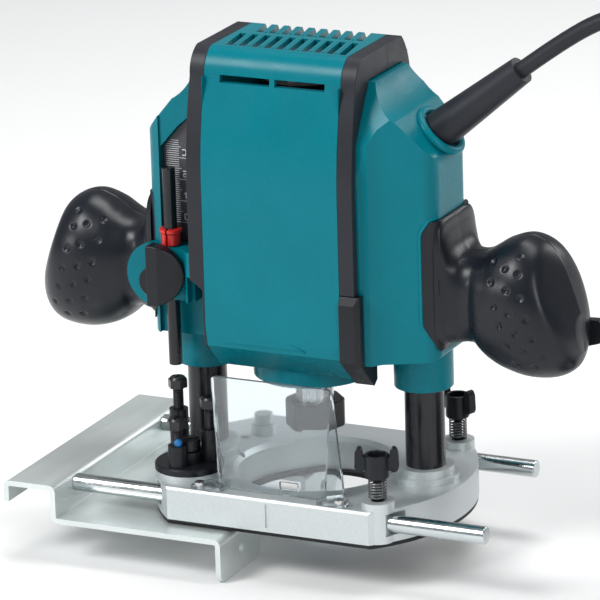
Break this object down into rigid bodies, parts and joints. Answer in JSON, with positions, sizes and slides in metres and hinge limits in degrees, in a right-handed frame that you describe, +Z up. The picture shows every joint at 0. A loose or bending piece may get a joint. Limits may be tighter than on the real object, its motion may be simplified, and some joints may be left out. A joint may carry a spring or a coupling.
{
  "type": "plunge router",
  "caption": "Plunge router with a round base on two columns, ball handles, turret depth stop, chip deflector, collet and a bent steel edge guide on rods.",
  "frame": {"origin": "centre of the sole's opening, at the underside of the sole, on the spindle's axis", "axes": "+X towards the right-hand handle, +Y to the rear, +Z up along the spindle"},
  "size_m": [0.3738, 0.2025, 0.2669],
  "materials": {
    "teal_plastic": "semi-gloss moulded plastic",
    "black_rubber": "soft matt overmould",
    "black_plastic": "fine-grained moulded plastic",
    "cast_aluminium": "die-cast, lightly blasted",
    "sole_plastic": "smooth matt",
    "polished_steel": "ground and polished",
    "dark_steel": "turned, blackened",
    "zinc_steel": "zinc plated",
    "clear_plastic": "clear moulded plastic",
    "red_plastic": "glossy",
    "scale_grey": "dark grey with white graduations",
    "copper": "copper",
    "laminations": "stacked sheet steel",
    "carbon": "pressed carbon",
    "bronze": "sintered bronze",
    "cord_rubber": "smooth rubber sheath"
  },
  "bodies": {
    "base": {"base_casting": "cast_aluminium", "sole_plate": "sole_plastic", "sole_screws": "dark_steel", "column_left": "dark_steel", "column_right": "dark_steel", "return_springs": "dark_steel", "wing_bolt_springs": "polished_steel", "chip_deflector": "clear_plastic", "deflector_screws": "polished_steel", "turret_pivot": "dark_steel"},
    "stopper_block": {"stopper_block": "black_plastic"},
    "stopper_bolt_low": {"stopper_bolt_low": "dark_steel"},
    "stopper_bolt_middle": {"stopper_bolt_middle": "dark_steel"},
    "stopper_bolt_high": {"stopper_bolt_high": "dark_steel"},
    "wing_bolt_front": {"wing_bolt_front": "black_plastic"},
    "wing_bolt_rear": {"wing_bolt_rear": "black_plastic"},
    "edge_guide": {"guide_rods": "polished_steel", "fence_plate": "zinc_steel"},
    "switch_lever": {"switch_lever": "black_plastic"},
    "stopper_pole": {"stopper_pole": "dark_steel"},
    "depth_pointer": {"depth_pointer": "red_plastic"},
    "clamp_knob": {"clamp_knob": "black_plastic"},
    "lock_lever": {"lock_lever": "black_plastic"},
    "shaft_lock": {"shaft_lock": "black_plastic"},
    "spindle": {"spindle": "polished_steel", "armature_core": "laminations", "armature_windings": "copper", "commutator": "copper", "cooling_fan": "black_plastic", "collet_cone": "dark_steel", "bearing_inner_rings": "polished_steel", "bearing_balls": "polished_steel"},
    "collet_nut": {"collet_nut": "dark_steel"},
    "motor": {"housing_front": "teal_plastic", "housing_rear": "teal_plastic", "bands_front": "black_rubber", "bands_rear": "black_rubber", "corner_guard": "black_plastic", "scale_plate": "scale_grey", "handle_left_front": "black_plastic", "handle_left_rear": "black_plastic", "handle_right_front": "black_plastic", "handle_right_rear": "black_plastic", "switch_block": "black_plastic", "column_sleeves": "teal_plastic", "guide_bushes": "bronze", "housing_screws": "dark_steel", "stator_core": "laminations", "stator_windings": "copper", "bearing_outer_rings": "polished_steel", "bearing_holders": "black_rubber", "brush_holders": "bronze", "carbon_brushes": "carbon", "brush_springs": "polished_steel", "cord_guard": "cord_rubber", "cord": "cord_rubber", "cord_coil": "cord_rubber", "cord_tie": "black_plastic", "plug_body": "cord_rubber", "plug_pins": "polished_steel"}
  },
  "joints": [
    {"name": "plunge", "type": "slide", "parent": "base", "child": "motor", "axis": [0, 0, 1], "range_m": [-0.035, 0], "stiffness_N_per_m": 900, "springref_m": 0.045, "deforming": ["return_springs"]},
    {"name": "turret_turn", "type": "hinge", "parent": "base", "child": "stopper_block", "pos_m": [-0.049, -0.031, 0.02], "axis": [0, 0, 1], "range_deg": [-120, 120]},
    {"name": "stopper_bolt_low_height", "type": "slide", "parent": "stopper_block", "child": "stopper_bolt_low", "axis": [0, 0, 1], "range_m": [-0.003, 0.0015]},
    {"name": "stopper_bolt_middle_height", "type": "slide", "parent": "stopper_block", "child": "stopper_bolt_middle", "axis": [0, 0, 1], "range_m": [-0.003, 0.0015]},
    {"name": "stopper_bolt_high_height", "type": "slide", "parent": "stopper_block", "child": "stopper_bolt_high", "axis": [0, 0, 1], "range_m": [-0.003, 0.0015]},
    {"name": "wing_bolt_front_turn", "type": "hinge", "parent": "base", "child": "wing_bolt_front", "pos_m": [0.0505, -0.0444, 0.03], "axis": [0, 0, 1], "range_deg": [0, 70]},
    {"name": "wing_bolt_rear_turn", "type": "hinge", "parent": "base", "child": "wing_bolt_rear", "pos_m": [0.0505, 0.0444, 0.03], "axis": [0, 0, 1], "range_deg": [-70, 0]},
    {"name": "fence_slide", "type": "slide", "parent": "base", "child": "edge_guide", "axis": [1, 0, 0], "range_m": [-0.06, 0.027]},
    {"name": "switch", "type": "hinge", "parent": "motor", "child": "switch_lever", "pos_m": [0.108, 0.013, 0.091], "axis": [0, -1, 0], "range_deg": [0, 6], "stiffness_Nm_per_rad": 0.5, "springref_deg": -2.86},
    {"name": "pole_slide", "type": "slide", "parent": "motor", "child": "stopper_pole", "axis": [0, 0, 1], "range_m": [0, 0.035]},
    {"name": "pointer_slide", "type": "slide", "parent": "stopper_pole", "child": "depth_pointer", "axis": [0, 0, 1], "range_m": [0, 0.026]},
    {"name": "clamp_turn", "type": "hinge", "parent": "motor", "child": "clamp_knob", "pos_m": [-0.0626, -0.031, 0.1065], "axis": [0, -1, 0], "range_deg": [0, 90]},
    {"name": "lock_turn", "type": "hinge", "parent": "motor", "child": "lock_lever", "pos_m": [-0.0585, 0.02, 0.112], "axis": [0, 1, 0], "range_deg": [0, 35]},
    {"name": "shaft_lock_press", "type": "slide", "parent": "motor", "child": "shaft_lock", "axis": [0, -1, 0], "range_m": [0, 0.002], "stiffness_N_per_m": 800, "springref_m": -0.001},
    {"name": "spindle_turn", "type": "hinge", "parent": "motor", "child": "spindle", "pos_m": [0, 0, 0.1], "axis": [0, 0, 1], "continuous": true},
    {"name": "collet_nut_turn", "type": "hinge", "parent": "spindle", "child": "collet_nut", "pos_m": [0, 0, 0.04], "axis": [0, 0, 1], "continuous": true}
  ],
  "couplings": [
    {"joint": "pole_slide", "follows": "plunge", "ratio": -1}
  ]
}
